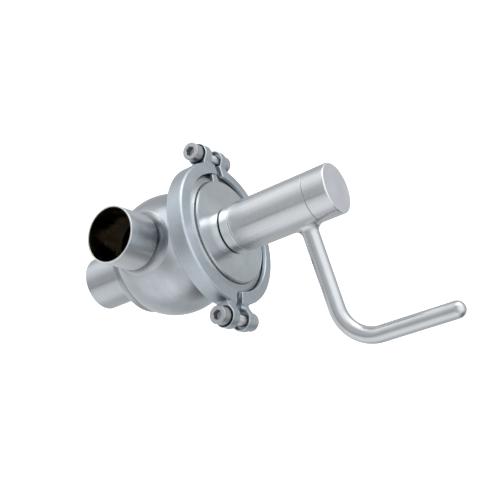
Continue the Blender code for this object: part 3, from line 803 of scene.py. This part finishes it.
def socket_screw(name, x_shift, y):
    """M10 socket-head screw along X with a rolled thread and a hexagon socket.

    The rings of vertices run from the socket's bottom, over the head and down to the tip.
    """
    cols = 72
    theta = np.linspace(0, 2 * math.pi, cols, endpoint=False)
    face, head_r, head_base, tip = 27.3, 8.3, 15.5, -25.0
    rings = []
    rings.append((np.full(cols, 0.01), face - 7.0))
    rings.append((hex_radius(theta, SOCKET_FLATS), face - 5.5))
    for depth, grow in ((5.3, 0.0), (2.5, 0.0), (0.45, 0.0), (0.2, 0.12), (0.0, 0.42)):
        rings.append((hex_radius(theta, SOCKET_FLATS) + grow, face - depth))
    rings.append((np.full(cols, 5.9), face))
    rings.append((np.full(cols, 6.9), face))
    for i in range(5):
        t = math.radians(90 - 22.5 * i)
        rings.append((np.full(cols, head_r - 0.8 + 0.8 * math.cos(t)), face - 0.8 + 0.8 * math.sin(t)))
    for x in (face - 1.2, (face + head_base) / 2, head_base + 0.6):
        rings.append((np.full(cols, head_r), x))
    rings.append((np.full(cols, head_r - 0.08), head_base + 0.15))
    rings.append((np.full(cols, head_r - 0.25), head_base))
    rings.append((np.full(cols, 5.2), head_base))
    rings.append((np.full(cols, THREAD_R), head_base - 0.2))
    x = head_base - 1.0
    while x > tip + 1.0:
        threaded = 1.0 if x < THREAD_FROM else 0.0
        phase = (x / THREAD_PITCH - theta / (2 * math.pi)) % 1.0
        depth = np.minimum(np.abs(phase - 0.5) * 2.0 * 1.15, 1.0)
        rings.append((THREAD_R - threaded * THREAD_DEPTH * depth, x))
        x -= 0.25 if threaded else 2.0
    rings.append((np.full(cols, 4.0), tip))
    rings.append((np.full(cols, 0.01), tip))
    verts = np.concatenate([np.stack([np.full(cols, h), r * np.cos(theta), r * np.sin(theta)], 1)
                            for r, h in rings])
    verts[:, 0] += x_shift
    verts[:, 1] += y
    verts[:, 2] += CLAMP_MID + LIFT
    faces = []
    for i in range(len(rings) - 1):
        a, b = i * cols, (i + 1) * cols
        for j in range(cols):
            k = (j + 1) % cols
            faces.append((a + j, b + j, b + k, a + k))
    last = (len(rings) - 1) * cols
    faces.append(tuple(reversed(range(cols))))
    faces.append(tuple(last + j for j in range(cols)))
    obj = make_object(name, verts, faces, materials=[SCREW])
    obj.data.set_sharp_from_angle(angle=math.radians(32))
    return obj


washer_outline = [(5.4, 15.3, 0.15), (8.2, 15.3, 0.3), (8.2, 13.8, 0.3), (5.4, 13.8, 0.15)]
for label, (x_shift, y) in (("left", EAR_LEFT), ("right", EAR_RIGHT)):
    screw = socket_screw("socket_screw_" + label, x_shift, y)
    show(screw, FIXED, FAST, "clamp_screw_" + label)
    washer = lathe("spring_washer_" + label, washer_outline, [SCREW], segments=64, axis="X",
                   offset=(x_shift, y, CLAMP_MID + LIFT))
    show(washer, FIXED, FAST, "screw_washer_" + label)

# ------------------------------------------------------------------------------------------------
# Hub, cap and handle
# ------------------------------------------------------------------------------------------------
hub_outline = [
    (10.3, 158.2, 0.3), (18.3, 158.2, 0.6), (18.3, 153.2, 0.1), (HUB_R, 153.2, 0.35),
    (HUB_R, 75.6, 2.6), (10.3, 75.6, 0.4),
]
hub = lathe("handle_sleeve", lifted(hub_outline), [HUB_STEEL], segments=192)
show(hub, TURNING, BRUSHED, "handle_hub")
cap_outline = [
    (0, 175.1, 0), (CAP_R, 175.1, 1.7), (CAP_R, 153.6, 0.35), (18.6, 153.6, 0.2),
    (18.6, 170.5, 0.3), (0, 170.5, 0),
]
cap = lathe("cap_cover", lifted(cap_outline), [HUB_STEEL, CAP_FACE], closed=False, segments=192,
            mat_of=lambda r, z, nr, nz: 1 if nz > 0.75 else 0)
show(cap, TURNING, BRUSHED, "end_cap")


BEND_R = 31.0                                  # at the rod's centre line
ROD_ROOT, ROD_REACH, ROD_END = 15.3, 126.8, 245.2   # start and upright from the stem, tip's height


def rod_mesh():
    """The bent rod: rings swept along its path, closed by a round tip.

    Each step of the path is the distance from the stem, the height, the path's slope and the radius.
    """
    bend, reach, end, root = BEND_R, ROD_REACH, ROD_END, ROD_ROOT
    path = [(root, ROD_Z, 0.0, ROD_R), (60.0, ROD_Z, 0.0, ROD_R)]
    for i in range(33):
        t = math.radians(90 * i / 32)
        path.append((reach - bend + bend * math.sin(t), ROD_Z + bend - bend * math.cos(t), t, ROD_R))
    for z in (185.0, 215.0):
        path.append((reach, z, math.pi / 2, ROD_R))
    for i in range(13):
        t = math.radians(89.0 * i / 12)
        path.append((reach, end - ROD_R + ROD_R * math.sin(t), math.pi / 2, ROD_R * math.cos(t)))
    cols = 64
    theta = np.linspace(0, 2 * math.pi, cols, endpoint=False)
    verts, normals = [], []
    for k, (s, z, t, r) in enumerate(path):
        ahead = np.array((math.cos(t), 0.0, math.sin(t)))
        side = np.array((0.0, 1.0, 0.0))
        lift = np.array((-math.sin(t), 0.0, math.cos(t)))
        ring = np.cos(theta)[:, None] * lift + np.sin(theta)[:, None] * side
        past = (z - (end - ROD_R)) / ROD_R if t > 1.57 else 0.0
        tip = math.asin(max(0.0, min(1.0, past)))
        verts.append(np.array((s, 0.0, z + LIFT)) + r * ring)
        normals.append(math.cos(tip) * ring + math.sin(tip) * ahead)
    verts, normals = np.concatenate(verts), np.concatenate(normals)
    faces = loft_faces(len(path), cols, False)
    base = (len(path) - 1) * cols
    faces.append(tuple(range(cols)))
    faces.append(tuple(reversed([base + j for j in range(cols)])))
    turn = np.array(Matrix.Rotation(math.radians(HANDLE_AZIMUTH), 3, "Z"))
    return verts @ turn.T, faces, normals @ turn.T


verts, faces, normals = rod_mesh()
rod = make_object("handle_bar", verts, faces, normals, np.zeros(len(verts)), [ROD_STEEL])
show(rod, TURNING, BRUSHED, "handle_rod")


def root_fillet():
    """Rolling-ball blend between the rod and the hub, closed underneath."""
    ball = 6.9
    rows, arc = 96, 14
    verts, normals = [], []
    for i in range(rows):
        phi = 2 * math.pi * i / rows
        side, lift = math.cos(phi), math.sin(phi)
        off = (ROD_R + ball) * side
        s = math.sqrt((HUB_R + ball) ** 2 - off ** 2)
        centre = np.array((s, off, ROD_Z + LIFT + (ROD_R + ball) * lift))
        d1 = np.array((0.0, -side, -lift))
        d2 = -np.array((s, off, 0.0)) / (HUB_R + ball)
        span = math.acos(float(d1 @ d2))
        for k in range(arc + 1):
            t = k / arc
            d = (d1 * math.sin((1 - t) * span) + d2 * math.sin(t * span)) / math.sin(span)
            verts.append(centre + d * (ball - 0.04))
            normals.append(-d)
        foot = centre + d2 * (ball + 1.2)
        verts.append(foot)
        normals.append(d2)
        verts.append(np.array((17.0, (ROD_R + 0.1) * side, ROD_Z + LIFT + (ROD_R + 0.1) * lift)))
        normals.append(d1)
    cols = arc + 3
    faces = []
    for i in range(rows):
        a, b = i * cols, ((i + 1) % rows) * cols
        for k in range(cols):
            m = (k + 1) % cols
            faces.append((a + k, b + k, b + m, a + m))
    turn = np.array(Matrix.Rotation(math.radians(HANDLE_AZIMUTH), 3, "Z"))
    return np.array(verts) @ turn.T, faces, np.array(normals) @ turn.T


verts, faces, normals = root_fillet()
fillet = make_object("handle_root_blend", verts, faces, normals, np.zeros(len(verts)), [HUB_STEEL])
show(fillet, TURNING, CAST, "handle_weld")

# CAD pieces that keep their shape get a finish ----------------------------------------------------
for node, mat in (("thrust_washer", PTFE), ("bonnet_seal", SEAL), ("stem_oring_lower", SEAL),
                  ("stem_oring_upper", SEAL), ("stem", HIDDEN_STEEL), ("drive_key", HIDDEN_STEEL),
                  ("stem_washer", HIDDEN_STEEL), ("stem_nut", HIDDEN_STEEL)):
    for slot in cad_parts[node].material_slots:
        slot.material = mat

# ------------------------------------------------------------------------------------------------
# Studio
# ------------------------------------------------------------------------------------------------
CAMERA_AT = (0.6680, 0.3050, 0.5798)
CAMERA_AZIMUTH, CAMERA_ELEVATION, CAMERA_ROLL = 22.84, 29.45, 68.37     # degrees
azimuth, elevation = math.radians(CAMERA_AZIMUTH), math.radians(CAMERA_ELEVATION)
BACK = Vector((math.cos(azimuth) * math.cos(elevation), math.sin(azimuth) * math.cos(elevation),
               math.sin(elevation)))
level = Vector((0, 0, 1)).cross(BACK).normalized()
rise = BACK.cross(level)
roll = math.radians(CAMERA_ROLL)
RIGHT = level * math.cos(roll) + rise * math.sin(roll)
UP = rise * math.cos(roll) - level * math.sin(roll)

data = bpy.data.cameras.new("view")
data.lens = 68.4
data.sensor_width = 36.0
data.clip_start = 0.01
camera = bpy.data.objects.new("view", data)
bpy.context.scene.collection.objects.link(camera)
camera.matrix_world = Matrix.Translation(CAMERA_AT) @ Matrix((RIGHT, UP, BACK)).transposed().to_4x4()
bpy.context.scene.camera = camera

TARGET = Vector((0.0, 0.0, 0.15))


def softbox(name, right, up, back, width, height, power):
    """A rectangular area light placed by camera directions and turned to the valve."""
    lamp = bpy.data.lights.new(name, "AREA")
    lamp.shape = "RECTANGLE"
    lamp.size, lamp.size_y = width, height
    lamp.energy = power
    obj = bpy.data.objects.new(name, lamp)
    at = TARGET + RIGHT * right + UP * up + BACK * back
    facing = (at - TARGET).to_track_quat("Z", "Y").to_matrix().to_4x4()
    obj.matrix_world = Matrix.Translation(at) @ facing
    bpy.context.scene.collection.objects.link(obj)
    return obj


softbox("key_top", 0.42, 1.05, 0.12, 0.6, 0.5, 1.3)
softbox("key_left", -0.95, 0.72, -0.12, 0.6, 0.6, 0.15)

# A light tent: an even glow with broad brighter and darker panels, each given by its direction as
# (right, up, towards the camera), its half angle in degrees and how much it adds.
TENT_GLOW = 0.53
TENT_PANELS = (
    ((-0.79, 0.61, -0.10), 42, 0.36),
    ((0.60, 0.38, 0.70), 62, 0.58),
    ((0.40, 0.87, 0.10), 40, 0.40),
    ((-0.42, -0.84, 0.34), 44, 0.32),
    ((0.14, -0.74, 0.64), 40, 0.17),
    ((0.72, -0.69, 0.0), 36, -0.34),
    ((-0.75, -0.35, -0.56), 60, 0.20),
    ((-0.14, 0.97, 0.22), 32, 0.75),
    ((-0.86, -0.18, 0.48), 24, -0.08),
    ((-0.81, -0.33, 0.49), 6, -0.42),
)
world = bpy.data.worlds.new("studio")
world.use_nodes = True
tree = world.node_tree
background = tree.nodes["Background"]
coord = tree.nodes.new("ShaderNodeTexCoord")
total = None
for (right, up, back), half_angle, amount in TENT_PANELS:
    dot = tree.nodes.new("ShaderNodeVectorMath")
    dot.operation = "DOT_PRODUCT"
    dot.inputs[1].default_value = (RIGHT * right + UP * up + BACK * back).normalized()
    tree.links.new(coord.outputs["Generated"], dot.inputs[0])
    panel = tree.nodes.new("ShaderNodeMapRange")
    panel.interpolation_type = "SMOOTHSTEP"
    panel.inputs["From Min"].default_value = math.cos(math.radians(half_angle))
    panel.inputs["From Max"].default_value = 1.0
    panel.inputs["To Max"].default_value = amount
    tree.links.new(dot.outputs["Value"], panel.inputs["Value"])
    join = tree.nodes.new("ShaderNodeMath")
    join.operation = "ADD"
    join.inputs[1].default_value = TENT_GLOW
    if total is not None:
        tree.links.new(total, join.inputs[1])
    tree.links.new(panel.outputs[0], join.inputs[0])
    total = join.outputs[0]
tint = tree.nodes.new("ShaderNodeVectorMath")
tint.operation = "SCALE"
tint.inputs[0].default_value = (0.97, 1.0, 1.03)
tree.links.new(total, tint.inputs["Scale"])
tree.links.new(tint.outputs[0], background.inputs["Color"])
bpy.context.scene.world = world

# A pale floor that throws no light on the valve: its even brightness is the backdrop's.
FLOOR_HALF = 40     # metres
mesh = bpy.data.meshes.new("floor")
corners = [(-FLOOR_HALF, -FLOOR_HALF, 0), (FLOOR_HALF, -FLOOR_HALF, 0),
           (FLOOR_HALF, FLOOR_HALF, 0), (-FLOOR_HALF, FLOOR_HALF, 0)]
mesh.from_pydata(corners, [], [(0, 1, 2, 3)])
floor = bpy.data.objects.new("floor", mesh)
bpy.context.scene.collection.objects.link(floor)
paper = Nodes("floor_paper")
paper.shader.inputs["Base Color"].default_value = (0.93, 0.93, 0.93, 1)
paper.shader.inputs["Roughness"].default_value = 0.9
paper.shader.inputs["Emission Color"].default_value = (1, 1, 1, 1)
paper.shader.inputs["Emission Strength"].default_value = 0.75
mesh.materials.append(paper.mat)
floor.visible_glossy = False
floor.visible_diffuse = False

view = bpy.context.scene.view_settings
view.view_transform = "Standard"
view.look = "None"

bpy.context.view_layer.update()
